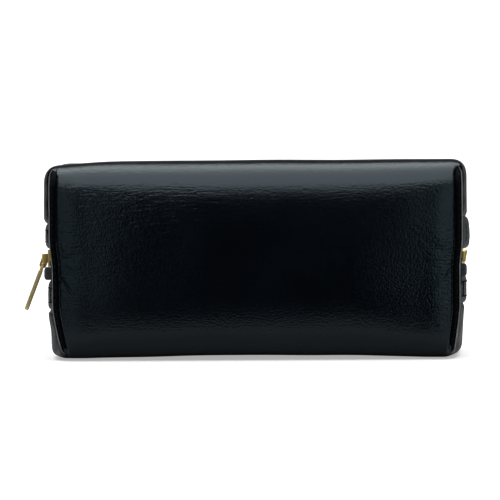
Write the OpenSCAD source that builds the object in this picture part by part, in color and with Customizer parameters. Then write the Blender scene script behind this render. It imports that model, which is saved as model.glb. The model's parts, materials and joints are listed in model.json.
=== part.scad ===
// Boxy leather makeup bag with a zip that runs over the top and down both ends.
// The bag lies on its back wall: +X runs along its length, +Y from its base to its zip, +Z up from the table.
// The origin is the middle of the back wall, on the table. All sizes are in millimetres.

/* [Body] */
// Length across the leather ends
body_length = 205; // [180:1:240]
// Height of the bag, from base to zip
body_height = 115; // [95:1:140]
// Depth of the bag, from back wall to front wall
body_depth = 99; // [80:1:120]
// Length of the leather base between its two end seams
base_length = 197; // [170:1:215]
// Height over which each end tapers in to the base
end_taper = 13; // [8:0.5:13.5]
// Radius of the long edges
edge_r = 14; // [8:1:20]
// Radius of the upright corners
corner_r = 9; // [5:1:14]
// Radius of the two top corners, where the zip turns
turn_r = 22; // [16:1:30]

/* [Layers] */
// Thickness of the outer leather
leather_t = 1.5; // [1:0.1:2]
// Thickness of the foam padding
padding_t = 1.5; // [0.8:0.1:2]
// Thickness of the cloth lining
lining_t = 0.5; // [0.3:0.1:0.8]
// Gap left between two layers
layer_gap = 0.05; // [0.02:0.01:0.1]
// Gap left along the fold, round the part that opens
fold_gap = 0.4; // [0.3:0.1:1]
// Number of front teeth below the fold, on each end
fold_teeth = 8; // [7:1:12]

/* [End seams] */
// How far each end seam stands out from the base leather
seam_reach = 2.8; // [2:0.1:4]
// Thickness of the two sewn edges together
seam_t = 2.4; // [1.6:0.1:3]

/* [Zip facings] */
// Width of each leather facing beside the zip
facing_w = 15; // [10:0.5:20]
// Thickness of a folded facing
facing_t = 2; // [1.2:0.1:2.6]
// Distance from the mid-plane to the front facing
front_gap = 5.5; // [5.3:0.1:8]
// Distance from the mid-plane to the back facing
back_gap = 8; // [4:0.1:9]
// Height of the zip's ends above the base
zip_start = 14; // [12:0.5:20]

/* [Zip] */
// How far the chain lies in front of the mid-plane
chain_shift = 1; // [0:0.1:1]
// Width of one half of the zip tape
tape_w = 14; // [12:0.5:14.5]
// Thickness of the tape
tape_t = 0.6; // [0.4:0.1:0.7]
// Distance between two teeth on one tape
tooth_pitch = 2.6; // [2.5:0.1:3]
// Width of a tooth along the tape
tooth_w = 1.1; // [0.8:0.05:1.1]
// Thickness of a tooth through the tape
tooth_t = 2.2; // [2:0.1:2.4]

/* [Slider] */
// Length of the slider
slider_l = 12; // [10:0.5:13]
// Width of the slider
slider_w = 8.4; // [7:0.1:8.6]
// Thickness of each slider plate
slider_plate_t = 0.9; // [0.8:0.1:1.2]
// Height of the crown bar's axis above the slider
crown_h = 1.9; // [1.9:0.1:2.5]
// Radius of the crown bar
crown_bar_r = 0.7; // [0.5:0.05:0.75]

/* [Pull] */
// Length of the pull bar from its eye to its tip
pull_l = 24; // [18:1:32]
// Width of the pull bar
pull_w = 4.6; // [3.6:0.1:7]
// Thickness of the pull bar
pull_t = 1.7; // [1.2:0.1:2]
// Angle by which the pull stands off from straight down
pull_lean = 21; // [18:1:30]

/* [Pocket] */
// Width of the slip pocket inside
pocket_w = 140; // [80:5:160]
// Depth of the slip pocket
pocket_h = 62; // [40:2:70]

/* [Hidden] */
$fn = 64;

half_l = body_length / 2;
half_h = body_height / 2;
half_base = base_length / 2;
mid_z = body_depth / 2;
base_y = -half_h;
far = 200;                              // reach of a cutting block, beyond the whole bag

padding_in = leather_t + layer_gap;     // depth of each layer's outer face below the leather's
lining_in = padding_in + padding_t + layer_gap;
inside_in = lining_in + lining_t;

leather_set = 3;                        // how far the leather's edge lies in under a facing
padding_slot = 16;                      // half-width of the gap in the padding, round the tape
lining_slot = 7;                        // half-width of the gap in the lining, under the chain
zip_y = base_y + zip_start;             // where the zip's gap begins on both ends
slot_y = zip_y - 1.5;                   // where the layers' own gap begins
tape_y = zip_y - 1;                     // where the tapes begin, hidden by the tape ends
seam_root = 4;                          // how far an end seam reaches in behind the base's end

chain_z = mid_z + chain_shift;
chain_in = leather_t + tape_t / 2;      // depth of the tape's middle below the leather
tooth_head = 0.55;                      // from the chain's middle to a tooth's head
tooth_bevel = 0.3;
tooth_root = 2.9;                       // where a tooth ends on its tape
tape_edge = 1.2;                        // where the tape's corded edge begins
clip_fit = 0.04;                        // room round the tape in a tooth or stop
stop_l = 3;
stop_head = 0.5;                        // from the chain's middle to a top stop
stop_w = 3;
bottom_stop_l = 4.5;
bottom_stop_w = 2 * tooth_root + 0.4;
bottom_stop_t = tooth_t + 0.3;
stop_room = 0.4;                        // room left round the bottom stop in the tapes
tape_end_t = 2.6;
tape_end_y = zip_y + 2.6;
tape_end_gap = 0.15;                    // from a tape end to the back facing
tape_end_r = (back_gap + chain_shift - slider_w / 2 - 4 * tape_end_gap) / 2;

plate_gap = tooth_t / 2 + 0.2;          // from the tape's middle to each slider plate
slider_y = zip_y + stop_l + 0.6 + slider_l / 2;
slider_out = half_l - chain_in + plate_gap + slider_plate_t;
crown_x = -(slider_out + crown_h);
crown_leg_l = 1.5;
crown_leg_w = 2.8;
crown_l = 9.6;
pin_r = 0.4;
pin_fit = 0.05;                         // room round the pin
pin_above = 0.95;                       // how far the pin stands above the slider
pin_y = slider_y + crown_l / 2 - crown_leg_l / 2;

link_play = 0.25;
link_wall = 0.8;
link_in = crown_bar_r + link_play;      // inner half-width of the link
link_out = link_in + link_wall;
link_l = 3.6;                           // from the crown bar's axis to the link's pin
link_t = 1.6;
link_pin_r = 0.45;
eye_hole_r = 0.75;
eye_r = 2.2;
eye_t = 1.4;
neck_l = eye_r + 0.9;                   // from the eye's middle to the bar's full width
neck_w = pull_w - 1.8;

pocket_y = base_y + 22;
pocket_t = 1.1;
pocket_sewn = 2.5;                      // width of the pocket's sewn edges
pocket_hollow = 0.6;
binding_w = 5;
binding_t = 0.8;

// ---- Outline of the bag, moved in by t ----

// Seen from the front: straight ends that taper to the base, and round top corners
module outline_xy(t) {
    x = half_l - t;
    y = half_h - t;
    polygon([[-half_base + t, -y], [half_base - t, -y], [x, base_y + end_taper], [x, half_h - turn_r],
        [-x, half_h - turn_r], [-x, base_y + end_taper]]);
    translate([-half_l + turn_r, -half_h + end_taper])
        square([body_length - 2 * turn_r, y + half_h - end_taper]);
    for (side = [-1, 1]) translate([side * (half_l - turn_r), half_h - turn_r]) circle(turn_r - t);
}

module rounded_rect(w, h, r) {
    square([w, h - 2 * r], center = true);
    square([w - 2 * r, h], center = true);
    for (sx = [-1, 1], sy = [-1, 1]) translate([sx * (w / 2 - r), sy * (h / 2 - r)]) circle(r);
}

// The whole bag as one soft box, t inside the leather's outer face
module form(t) {
    intersection() {
        translate([0, 0, t]) linear_extrude(body_depth - 2 * t) outline_xy(t);
        rotate([90, 0, 90]) translate([0, mid_z, -far])
            linear_extrude(2 * far) rounded_rect(body_height - 2 * t, body_depth - 2 * t, edge_r - t);
        translate([0, far, mid_z]) rotate([90, 0, 0])
            linear_extrude(2 * far) rounded_rect(body_length - 2 * t, body_depth - 2 * t, corner_r - t);
    }
}

// Everything between two depths and between two heights above the table
module slab(z0, z1, y0 = -far) {
    translate([-far, y0, z0]) cube([2 * far, far - y0, z1 - z0]);
}

// The part that opens: the front, with its half of the top and ends, above the fold
module opening_part() {
    intersection() {
        children();
        slab(mid_z + fold_gap / 2, far, fold_y + fold_gap / 2);
    }
}

module fixed_part() {
    difference() {
        children();
        slab(mid_z - fold_gap / 2, far, fold_y - fold_gap / 2);
    }
}

// One layer of the bag's wall with the zip's gap cut out of it
module layer(t, thick, slot_back, slot_front) {
    difference() {
        form(t);
        form(t + thick);
        slab(mid_z - slot_back, mid_z + slot_front, slot_y);
    }
}

module leather_layer() {
    layer(0, leather_t, back_gap + leather_set, front_gap + leather_set);
}

module padding_layer() {
    layer(padding_in, padding_t, padding_slot, padding_slot);
}

module lining_layer() {
    layer(lining_in, lining_t, lining_slot, lining_slot);
}

// A band that follows the zip's route: over the top and down both ends, from y0 up
module zip_band(t, thick, z0, z1, y0) {
    intersection() {
        translate([0, 0, z0]) linear_extrude(z1 - z0) difference() {
            outline_xy(t);
            outline_xy(t + thick);
        }
        slab(z0 - 1, z1 + 1, y0);
    }
}

// ---- The zip's route, along the middle of its tape ----

route_r = turn_r - chain_in;
route_x = half_l - chain_in;
route_end_l = half_h - turn_r - zip_y;
route_turn_l = route_r * PI / 2;
route_top_l = body_length - 2 * turn_r;
route_half_l = route_end_l + route_turn_l + route_top_l / 2;

row_start = bottom_stop_l + 0.6;        // from the route's ends to the rows of teeth
tooth_n = round(2 * (route_half_l - row_start) / tooth_pitch);
pitch = 2 * (route_half_l - row_start) / tooth_n;
fold_y = zip_y + row_start + fold_teeth * pitch;

// [x, y, direction] at a distance s from the route's start on the left end
function route_left(s) = s < route_end_l ? [-route_x, zip_y + s, 90] :
    let (a = (s - route_end_l) / route_r * 180 / PI)
    [-half_l + turn_r - route_r * cos(a), half_h - turn_r + route_r * sin(a), 90 - a];
function route(s) =
    s < route_end_l + route_turn_l ? route_left(s) :
    s < 2 * route_half_l - route_end_l - route_turn_l ?
        [s - route_half_l, half_h - chain_in, 0] :
    let (m = route_left(2 * route_half_l - s)) [-m[0], m[1], -m[2]];

// Puts a child at distance s: its +X along the zip, its +Y out of the bag
module on_route(s) {
    p = route(s);
    translate([p[0], p[1], chain_z]) rotate([0, 0, p[2]]) children();
}

module along_zip(length) {
    translate([-length / 2, 0, 0]) rotate([90, 0, 90]) linear_extrude(length) children();
}

// Section of a tooth: [out of the bag, towards the tape]
module tooth_section() {
    h = tooth_t / 2;
    c = tape_t / 2 + clip_fit;
    b = tooth_bevel;
    polygon([[-h + b, tooth_head], [h - b, tooth_head], [h, tooth_head + b], [h, tooth_root],
        [c, tooth_root], [c, tape_edge - clip_fit], [-c, tape_edge - clip_fit], [-c, tooth_root],
        [-h, tooth_root], [-h, tooth_head + b]]);
}

// Teeth from one number to another along a row; side is 1 for the front tape and -1 for the back one
module teeth_row(side, from, to) {
    for (i = [from : to])
        on_route(row_start + (i + (side > 0 ? 0.5 : 1)) * pitch)
            along_zip(tooth_w) scale([1, side]) tooth_section();
}

module half_tape(side) {
    z0 = side > 0 ? chain_z + tape_edge : chain_z - tape_w;
    z1 = side > 0 ? chain_z + tape_w : chain_z - tape_edge;
    difference() {
        zip_band(leather_t, tape_t, z0, z1, tape_y);
        // The bottom stop's room on the right end
        translate([0, base_y, chain_z - bottom_stop_w / 2 - stop_room])
            cube([far, zip_start + bottom_stop_l + stop_room, bottom_stop_w + 2 * stop_room]);
    }
}

// The clip that ends one row of teeth, on the left end
module top_stop(side) {
    on_route(stop_l / 2) along_zip(stop_l) scale([1, side]) difference() {
        translate([-tooth_t / 2, stop_head]) square([tooth_t, stop_w]);
        translate([-tape_t / 2 - clip_fit, tape_edge - clip_fit]) square([tape_t + 2 * clip_fit, stop_w]);
    }
}

// ---- Leather and cloth ----

// The sewn, painted edge that stands out along the bottom of each end; side is -1 left, 1 right
module end_seam(side) {
    seam_x = half_base + seam_reach;
    difference() {
        intersection() {
            rotate([90, 0, 90]) translate([0, mid_z, side > 0 ? 0 : -seam_x])
                linear_extrude(seam_x) rounded_rect(body_height, body_depth, edge_r);
            translate([side > 0 ? half_base - seam_root : seam_root - half_base - far, base_y, 0])
                cube([far, seam_t, body_depth]);
        }
        form(-layer_gap);
    }
}

module facing(z0) {
    zip_band(-facing_t - layer_gap, facing_t, z0, z0 + facing_w, zip_y);
}

// The folded cloth end of the tape, between the chain and the back facing; side is -1 left, 1 right
module tape_end(side) {
    x = side * (half_l - leather_t + layer_gap);
    translate([x, tape_end_y, mid_z - back_gap + tape_end_gap + tape_end_r]) rotate([0, side * 90, 0])
        cylinder(r = tape_end_r, h = tape_end_t);
}

module inner_pocket() {
    e = pocket_sewn;
    color("dimgray") translate([-pocket_w / 2, pocket_y, inside_in + layer_gap]) difference() {
        cube([pocket_w, pocket_h, pocket_t]);
        translate([e, e, -1]) cube([pocket_w - 2 * e, pocket_h, 1 + pocket_hollow]);
    }
}

module pocket_binding() {
    z = inside_in + pocket_t + 2 * layer_gap;
    color("black") translate([-pocket_w / 2, pocket_y + pocket_h - binding_w, z])
        cube([pocket_w, binding_w, binding_t]);
}

module body_leather() {
    color([0.03, 0.035, 0.04]) fixed_part() leather_layer();
}

module front_leather() {
    color([0.03, 0.035, 0.04]) opening_part() leather_layer();
}

module body_padding() {
    color("gainsboro") fixed_part() padding_layer();
}

module front_padding() {
    color("gainsboro") opening_part() padding_layer();
}

module body_lining() {
    color("dimgray") fixed_part() lining_layer();
}

module front_lining() {
    color("dimgray") opening_part() lining_layer();
}

module left_seam() {
    color("black") end_seam(-1);
}

module right_seam() {
    color("black") end_seam(1);
}

module back_facing() {
    color([0.04, 0.045, 0.05]) facing(mid_z - back_gap - facing_w);
}

module front_facing() {
    color([0.04, 0.045, 0.05]) opening_part() facing(mid_z + front_gap);
}

module front_facing_ends() {
    color([0.04, 0.045, 0.05]) fixed_part() facing(mid_z + front_gap);
}

module back_tape() {
    color("black") half_tape(-1);
}

module front_tape() {
    color("black") opening_part() half_tape(1);
}

module front_tape_ends() {
    color("black") fixed_part() half_tape(1);
}

module back_teeth() {
    color("gold") teeth_row(-1, 0, tooth_n - 2);
}

module front_teeth() {
    color("gold") teeth_row(1, fold_teeth, tooth_n - fold_teeth - 1);
}

module front_teeth_ends() {
    color("gold") {
        teeth_row(1, 0, fold_teeth - 1);
        teeth_row(1, tooth_n - fold_teeth, tooth_n - 1);
    }
}

module front_top_stop() {
    color("gold") top_stop(1);
}

module back_top_stop() {
    color("gold") top_stop(-1);
}

// The clip that joins both tapes where the zip ends on the right
module bottom_stop() {
    color("gold") on_route(2 * route_half_l - bottom_stop_l / 2) along_zip(bottom_stop_l)
        square([bottom_stop_t, bottom_stop_w], center = true);
}

module left_tape_end() {
    color("black") tape_end(-1);
}

module right_tape_end() {
    color("black") tape_end(1);
}

// ---- Slider and pull, on the left end ----

// Two plates joined by the post that parts the teeth. Rims hold the back row; the front side is open
module slider_body() {
    x = half_l - chain_in;
    post_l = 3;
    post_w = 2 * tooth_head - 0.5;
    rim_h = plate_gap - tape_t / 2 - 0.25;
    rim_w = 0.9;
    color("gold") translate([-x, slider_y, chain_z]) difference() {
        union() {
            for (s = [-1, 1]) {
                translate([s * (plate_gap + slider_plate_t / 2), 0, 0])
                    cube([slider_plate_t, slider_l, slider_w], center = true);
                translate([s * (plate_gap - rim_h / 2), 0, -slider_w / 2 + rim_w / 2])
                    cube([rim_h + 0.02, slider_l, rim_w], center = true);
            }
            translate([0, -slider_l / 2 + post_l / 2, 0])
                cube([2 * plate_gap + 0.1, post_l, post_w], center = true);
        }
        translate([-plate_gap - slider_plate_t - 1, pin_y - slider_y, 0]) rotate([0, 90, 0])
            cylinder(r = pin_r + pin_fit, h = slider_plate_t + 1.5);
    }
}

module slider_crown() {
    leg_x = crown_h + crown_bar_r;
    color("gold") translate([0, slider_y, chain_z]) difference() {
        union() {
            translate([crown_x, 0, 0]) rotate([90, 0, 0])
                cylinder(r = crown_bar_r, h = crown_l, center = true);
            for (s = [-1, 1])
                translate([-slider_out - leg_x / 2, s * (crown_l - crown_leg_l) / 2, 0])
                    cube([leg_x, crown_leg_l, crown_leg_w], center = true);
        }
        translate([-slider_out - 1, pin_y - slider_y, 0]) rotate([0, 90, 0])
            cylinder(r = pin_r + pin_fit, h = 2);
    }
}

// The pin that drops between the teeth and locks the slider
module lock_pin() {
    color("silver") translate([-slider_out - pin_above, pin_y, chain_z]) rotate([0, 90, 0])
        cylinder(r = pin_r, h = slider_plate_t + 1);
}

// Puts a child on the crown bar's axis: its -Z points the way the pull hangs, its +X at the bag
module hung() {
    translate([crown_x, slider_y, chain_z]) rotate([0, pull_lean, 0]) children();
}

module pull_link() {
    color("gold") hung() {
        rotate([90, 0, 0]) linear_extrude(link_t, center = true) difference() {
            union() {
                circle(link_out);
                translate([-link_out, -link_l]) square([2 * link_out, link_l]);
                translate([0, -link_l]) circle(link_out);
            }
            circle(link_in);
            translate([-link_in, -link_l - link_out]) square([2 * link_in, link_l + link_out]);
        }
        translate([0, 0, -link_l]) rotate([0, 90, 0])
            cylinder(r = link_pin_r, h = 2 * link_in + 1, center = true);
    }
}

module pull_bar() {
    tip_r = 1.4;
    color("gold") hung() translate([0, 0, -link_l]) rotate([0, -90, 0]) {
        linear_extrude(eye_t, center = true) difference() {
            union() {
                circle(eye_r);
                translate([-neck_l, -neck_w / 2]) square([neck_l, neck_w]);
            }
            circle(eye_hole_r);
        }
        linear_extrude(pull_t, center = true) {
            translate([-pull_l + tip_r, -pull_w / 2]) square([pull_l - tip_r - neck_l, pull_w]);
            translate([-pull_l, -pull_w / 2 + tip_r]) square([tip_r, pull_w - 2 * tip_r]);
            for (s = [-1, 1]) translate([-pull_l + tip_r, s * (pull_w / 2 - tip_r)]) circle(tip_r);
        }
    }
}

body_leather();
body_padding();
body_lining();
front_leather();
front_padding();
front_lining();
left_seam();
right_seam();
back_facing();
front_facing();
front_facing_ends();
back_tape();
front_tape();
front_tape_ends();
back_teeth();
front_teeth();
front_teeth_ends();
back_top_stop();
front_top_stop();
bottom_stop();
left_tape_end();
right_tape_end();
inner_pocket();
pocket_binding();
slider_body();
slider_crown();
lock_pin();
pull_link();
pull_bar();
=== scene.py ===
"""The looks of a boxy leather makeup bag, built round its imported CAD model.

Shapes are worked out in millimetres in the CAD model's own frame, and meshes are made from them in metres.
+X runs along the bag, +Y from its base to the zip on top, and +Z up from the table.
"""
import json
import math

import bmesh
import bpy
import numpy as np
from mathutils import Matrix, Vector


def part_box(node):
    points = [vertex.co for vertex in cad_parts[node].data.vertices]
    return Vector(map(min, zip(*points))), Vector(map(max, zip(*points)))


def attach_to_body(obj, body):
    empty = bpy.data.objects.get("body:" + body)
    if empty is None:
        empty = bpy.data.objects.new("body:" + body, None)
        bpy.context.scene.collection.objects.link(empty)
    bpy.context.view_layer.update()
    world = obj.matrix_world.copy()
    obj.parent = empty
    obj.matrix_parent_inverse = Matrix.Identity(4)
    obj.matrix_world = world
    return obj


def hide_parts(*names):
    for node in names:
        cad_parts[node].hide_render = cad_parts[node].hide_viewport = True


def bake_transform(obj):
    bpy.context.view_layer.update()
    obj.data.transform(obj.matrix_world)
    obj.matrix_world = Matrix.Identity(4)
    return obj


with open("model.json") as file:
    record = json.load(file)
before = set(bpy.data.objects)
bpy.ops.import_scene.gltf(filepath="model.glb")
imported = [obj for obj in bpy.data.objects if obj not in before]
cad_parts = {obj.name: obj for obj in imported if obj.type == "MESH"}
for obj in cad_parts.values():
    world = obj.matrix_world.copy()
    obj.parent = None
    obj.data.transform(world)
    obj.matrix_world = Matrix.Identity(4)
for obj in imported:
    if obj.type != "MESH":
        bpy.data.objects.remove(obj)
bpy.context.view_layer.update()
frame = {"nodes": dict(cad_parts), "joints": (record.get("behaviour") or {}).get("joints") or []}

MM = 0.001


def box_mm(node):
    low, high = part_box(node)
    return np.array(low) / MM, np.array(high) / MM


# ---- Sizes, from the CAD model ----

leather_low, leather_high = box_mm("body_leather")
HALF_L = leather_high[0]
BASE_Y = leather_low[1]
TOP_Y = leather_high[1]
DEPTH = leather_high[2]
MID_Z = DEPTH / 2
SEAM_OUT = box_mm("right_seam")[1][0] + 0.3     # outer edge of the sewn margins
back_facing_low, back_facing_high = box_mm("back_facing")
front_facing_low, front_facing_high = box_mm("front_facing")
ZIP_Y = back_facing_low[1]
FACING_W = back_facing_high[2] - back_facing_low[2]
CHAIN_Z = sum(box_mm("bottom_stop"))[2] / 2
FOLD_Y = next(j for j in frame["joints"] if j["name"] == "mouth_open")["pos_m"][1] / MM

# ---- Sizes of the soft form ----

TURN_R = 22                 # radius of the two top corners
EDGE_R = 14                 # radius of the long edges
CORNER_R = 9                # radius of the upright corners
CORE_R = 24                 # depth of the core that the form is measured from
SEAM_IN = SEAM_OUT - 2.4    # where the base leather meets its end seams
SEAM_SHIFT = 1.1            # both seams are sewn this much off the middle, towards +X
TAPER = 13                  # height over which the ends round in to the base
FLARE = 9                   # and how much more of it beside the zip
LEATHER_T = 1.5
STITCH_PITCH = 3.3
FOAM_IN = 2.8               # depth of the foam's outer face below the leather's
FOAM_T = 0.7
LINING_IN = 3.7
LINING_T = 0.5
SEAM_ROOM = 2.4             # the foam and lining keep this much further in beside the end seams
PUFF = 2.1                  # the ends' padding stands out this much above and below the zip
LEFT_PUFF = 0.5             # and this much more on the left end
RIGHT_OUT = 1.4             # the right end stands out this much more towards its base
LEFT_DROP = 2.0             # the facings on the left end lie this much lower towards its base
RIGHT_DROP = 1.2            # the front facing on the right end reaches this much nearer the chain
CROWN = 5.0                 # the base stands out this much at its middle
BASE_LEAN = 2.4             # the base lies this much further in at its upper long edge
FRONT_CROWN = 0.3           # the front stands out this much at its middle
FRONT_DIP = 1.8             # and falls this much at the left end, towards the base
ARCH = 1.3                  # the back wall arches this much off the table
SHORTER_BELOW = 0.0135      # share by which the bag is shorter below the zip
SHORTER_LOW = (0.050, 0.034)    # more of it at the lower long edge, at the left and right ends
SHORTER_HIGH = 0.003        # and at the upper long edge
SLOT_BACK = 11              # the leather's edges either side of the zip, from the mid-plane
SLOT_FRONT = 8.5
SLOT_Y = ZIP_Y - 1.5
BEND = 15                   # the front bends over this much below and above the fold
BENDING = "front"           # stands for the front and all that is sewn to it, in place of a body's name
SPLIT_Y = FOLD_Y - BEND - 2.5   # the front's own leather begins here, below its bend


# ---- Small tools ----

def smooth_step(a, b, v):
    t = np.clip((v - a) / (b - a), 0, 1)
    return t * t * (3 - 2 * t)


def hump(v, centre, width):
    return np.exp(-(((v - centre) / width) ** 2))


def smooth_max(a, b, k):
    h = np.maximum(k - np.abs(a - b), 0) / k
    return np.maximum(a, b) + h * h * k / 4


def waves(points, seed, longest, shortest, count=28):
    """Soft, repeatable unevenness: a sum of plane waves, about -1 to 1."""
    rng = np.random.default_rng(seed)
    total = np.zeros(len(points))
    for _ in range(count):
        length = math.exp(rng.uniform(math.log(shortest), math.log(longest)))
        direction = rng.normal(size=3)
        direction /= np.linalg.norm(direction)
        total += np.sin(points @ direction * (2 * math.pi / length) + rng.uniform(0, 2 * math.pi)) * length
    return total / (longest * math.sqrt(count) * 0.35)


def add_object(name, data):
    obj = bpy.data.objects.new(name, data)
    bpy.context.scene.collection.objects.link(obj)
    return obj


def make_mesh(name, verts, faces, material, sharp_angle=50, uv=None):
    """A mesh object from millimetre points. uv gives one pair in millimetres for each vertex."""
    mesh = bpy.data.meshes.new(name)
    mesh.from_pydata((np.asarray(verts) * MM).tolist(), [], [list(map(int, f)) for f in faces])
    mesh.validate()
    if uv is not None:
        layer = mesh.uv_layers.new(name="along")
        corner_vertex = np.zeros(len(mesh.loops), int)
        mesh.loops.foreach_get("vertex_index", corner_vertex)
        layer.data.foreach_set("uv", (np.asarray(uv)[corner_vertex] * 0.1).astype(np.float32).ravel())
    mesh.materials.append(material)
    mesh.shade_smooth()
    mesh.set_sharp_from_angle(angle=math.radians(sharp_angle))
    return add_object(name, mesh)


def fix_normals(obj, weld=False):
    """Turns every face outward. weld first joins the points that lie on each other."""
    mesh = bmesh.new()
    mesh.from_mesh(obj.data)
    if weld:
        bmesh.ops.remove_doubles(mesh, verts=mesh.verts, dist=1e-5)
    bmesh.ops.recalc_face_normals(mesh, faces=mesh.faces)
    mesh.to_mesh(obj.data)
    mesh.free()
    return obj


def attach(obj, body, slot, *nodes):
    """Rides obj on a body, or for the front leaves it where it is with its transform baked, in place of the CAD
    nodes named.
    """
    if body == BENDING:
        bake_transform(obj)
    else:
        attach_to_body(obj, body)
    if nodes:
        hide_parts(*nodes)
    return obj


def tube_faces(rings, around, capped=True):
    """Faces of a tube whose points lie in rings, one ring after the other."""
    faces = []
    for start in range(0, (rings - 1) * around, around):
        for i in range(around):
            j = (i + 1) % around
            faces.append([start + i, start + j, start + around + j, start + around + i])
    if capped:
        faces.append(list(range(around))[::-1])
        faces.append(list(range((rings - 1) * around, rings * around)))
    return faces


def sphere_points(rings, around):
    """Unit vectors in rings from +Z to -Z, in the order that tube_faces takes."""
    points = []
    for v in np.linspace(0, math.pi, rings):
        for k in range(around):
            u = 2 * math.pi * k / around
            points.append([math.sin(v) * math.cos(u), math.sin(v) * math.sin(u), math.cos(v)])
    return np.array(points)


def grid_quads(index, turned=False):
    """Quads between the points of a grid, given as their numbers."""
    a, b, c, d = index[:-1, :-1], index[1:, :-1], index[1:, 1:], index[:-1, 1:]
    order = (a, d, c, b) if turned else (a, b, c, d)
    return np.stack([q.ravel() for q in order], axis=1)


def merge_parts(parts):
    """Joins (verts, faces) pairs into one pair."""
    verts, faces, start = [], [], 0
    for part_verts, part_faces in parts:
        verts.append(np.asarray(part_verts, float))
        faces.extend([[i + start for i in f] for f in part_faces])
        start += len(part_verts)
    return np.concatenate(verts), faces


# ---- Materials. Texture scales are in features a metre, and bump distances in metres ----

GRAIN = 900
PEBBLES = 1100
PORES = 2600
FOAM_PORES = 1400
WEAVE = 620
SCRATCHES = 5200


def set_up(node, settings):
    """Sets a node's sockets and properties by name, with _ for the spaces in a socket's name."""
    for key, value in settings.items():
        socket = key.replace("_", " ")
        if socket in node.inputs:
            node.inputs[socket].default_value = value
        else:
            setattr(node, key, value)


def new_material(name, **inputs):
    material = bpy.data.materials.new(name)
    material.use_nodes = True
    shader = material.node_tree.nodes["Principled BSDF"]
    set_up(shader, inputs)
    return material, material.node_tree, shader


def add_node(tree, kind, **settings):
    node = tree.nodes.new(kind)
    set_up(node, settings)
    return node


def texture_place(tree, scale=(1, 1, 1), source="Object"):
    place = add_node(tree, "ShaderNodeTexCoord")
    mapping = add_node(tree, "ShaderNodeMapping", Scale=scale)
    tree.links.new(place.outputs[source], mapping.inputs["Vector"])
    return mapping.outputs["Vector"]


def tint(tree, shader, source, *stops):
    """Colours the shader from source, by a ramp between two stops: (value, colour)."""
    node = add_node(tree, "ShaderNodeValToRGB")
    for element, (value, colour) in zip(node.color_ramp.elements, stops):
        element.position = value
        element.color = (*colour, 1)
    tree.links.new(source, node.inputs["Fac"])
    tree.links.new(node.outputs["Color"], shader.inputs["Base Color"])


def spread(tree, source, low, high, from_low=0.0, from_high=1.0):
    node = add_node(tree, "ShaderNodeMapRange", From_Min=from_low, From_Max=from_high,
                    To_Min=low, To_Max=high)
    tree.links.new(source, node.inputs["Value"])
    return node.outputs["Result"]


def arithmetic(tree, operation, a, b):
    node = add_node(tree, "ShaderNodeMath", operation=operation)
    for socket, value in zip(node.inputs, (a, b)):
        if isinstance(value, (int, float)):
            socket.default_value = value
        else:
            tree.links.new(value, socket)
    return node.outputs["Value"]


def mixed(tree, a, b, share_a, share_b):
    parts = [arithmetic(tree, "MULTIPLY", source, share) for source, share in ((a, share_a), (b, share_b))]
    return arithmetic(tree, "ADD", *parts)


def add_bumps(tree, shader, layers):
    """Stacks bumps on the shader: (height output, strength, distance in metres)."""
    normal = None
    for height, strength, distance in layers:
        bump = add_node(tree, "ShaderNodeBump", Strength=strength, Distance=distance)
        tree.links.new(height, bump.inputs["Height"])
        if normal is not None:
            tree.links.new(normal, bump.inputs["Normal"])
        normal = bump.outputs["Normal"]
    tree.links.new(normal, shader.inputs["Normal"])


def pattern(tree, vector, kind, output="Fac", **settings):
    node = add_node(tree, f"ShaderNodeTex{kind}", **settings)
    tree.links.new(vector, node.inputs["Vector"])
    return node.outputs[output]


def noise_of(tree, vector, scale, detail):
    return pattern(tree, vector, "Noise", Scale=scale, Detail=detail, Roughness=0.5)


def wave_of(tree, vector, direction, scale, distortion):
    return pattern(tree, vector, "Wave", Scale=scale, Distortion=distortion, bands_direction=direction)


def leather_material(name, dark, light, rough_low, rough_high, grain=1.0, shine=0.5):
    """Smooth black leather: a fine pebble grain with pores, soft wear and an even satin finish."""
    material, tree, shader = new_material(name, Specular_IOR_Level=shine,
                                          Specular_Tint=(0.72, 0.90, 1.0, 1))
    place = texture_place(tree)
    cloud = noise_of(tree, place, 38, 4)
    fine = noise_of(tree, place, GRAIN, 3)
    tint(tree, shader, cloud, (0.3, dark), (0.75, light))
    worn = mixed(tree, cloud, fine, 1.0, 0.6)
    tree.links.new(spread(tree, worn, rough_low, rough_high, 0.45, 1.15), shader.inputs["Roughness"])
    cells = pattern(tree, place, "Voronoi", "Distance", Scale=PEBBLES, feature="SMOOTH_F1", Smoothness=0.45)
    pebble = arithmetic(tree, "SUBTRACT", 1.0, cells)
    folds = noise_of(tree, texture_place(tree, scale=(0.15, 1, 1)), GRAIN, 2)
    handled = add_node(tree, "ShaderNodeAttribute", attribute_name="handled")
    wrinkle = arithmetic(tree, "MULTIPLY", folds, handled.outputs["Fac"])
    add_bumps(tree, shader, [
        (wrinkle, 0.5 * grain, 0.0005),
        (pebble, 0.36 * grain, 0.0002),
        (noise_of(tree, place, PORES, 2), 0.15 * grain, 0.0001),
    ])
    return material


def edge_highlight_material(name):
    """Painted raw edge of two leathers: a satin skin, a little uneven. Its pale grey is a painted highlight,
    the light that the edge catches.
    """
    material, tree, shader = new_material(name, Specular_IOR_Level=0.5)
    place = texture_place(tree)
    patches = noise_of(tree, place, 240, 4)
    # These pale greys are a painted highlight along the raw edge, not the paint's own colour
    tint(tree, shader, patches, (0.3, (0.10, 0.105, 0.11)), (0.8, (0.17, 0.175, 0.18)))
    tree.links.new(spread(tree, patches, 0.34, 0.5), shader.inputs["Roughness"])
    add_bumps(tree, shader, [(noise_of(tree, place, 700, 3), 0.25, 0.0003)])
    return material


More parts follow.
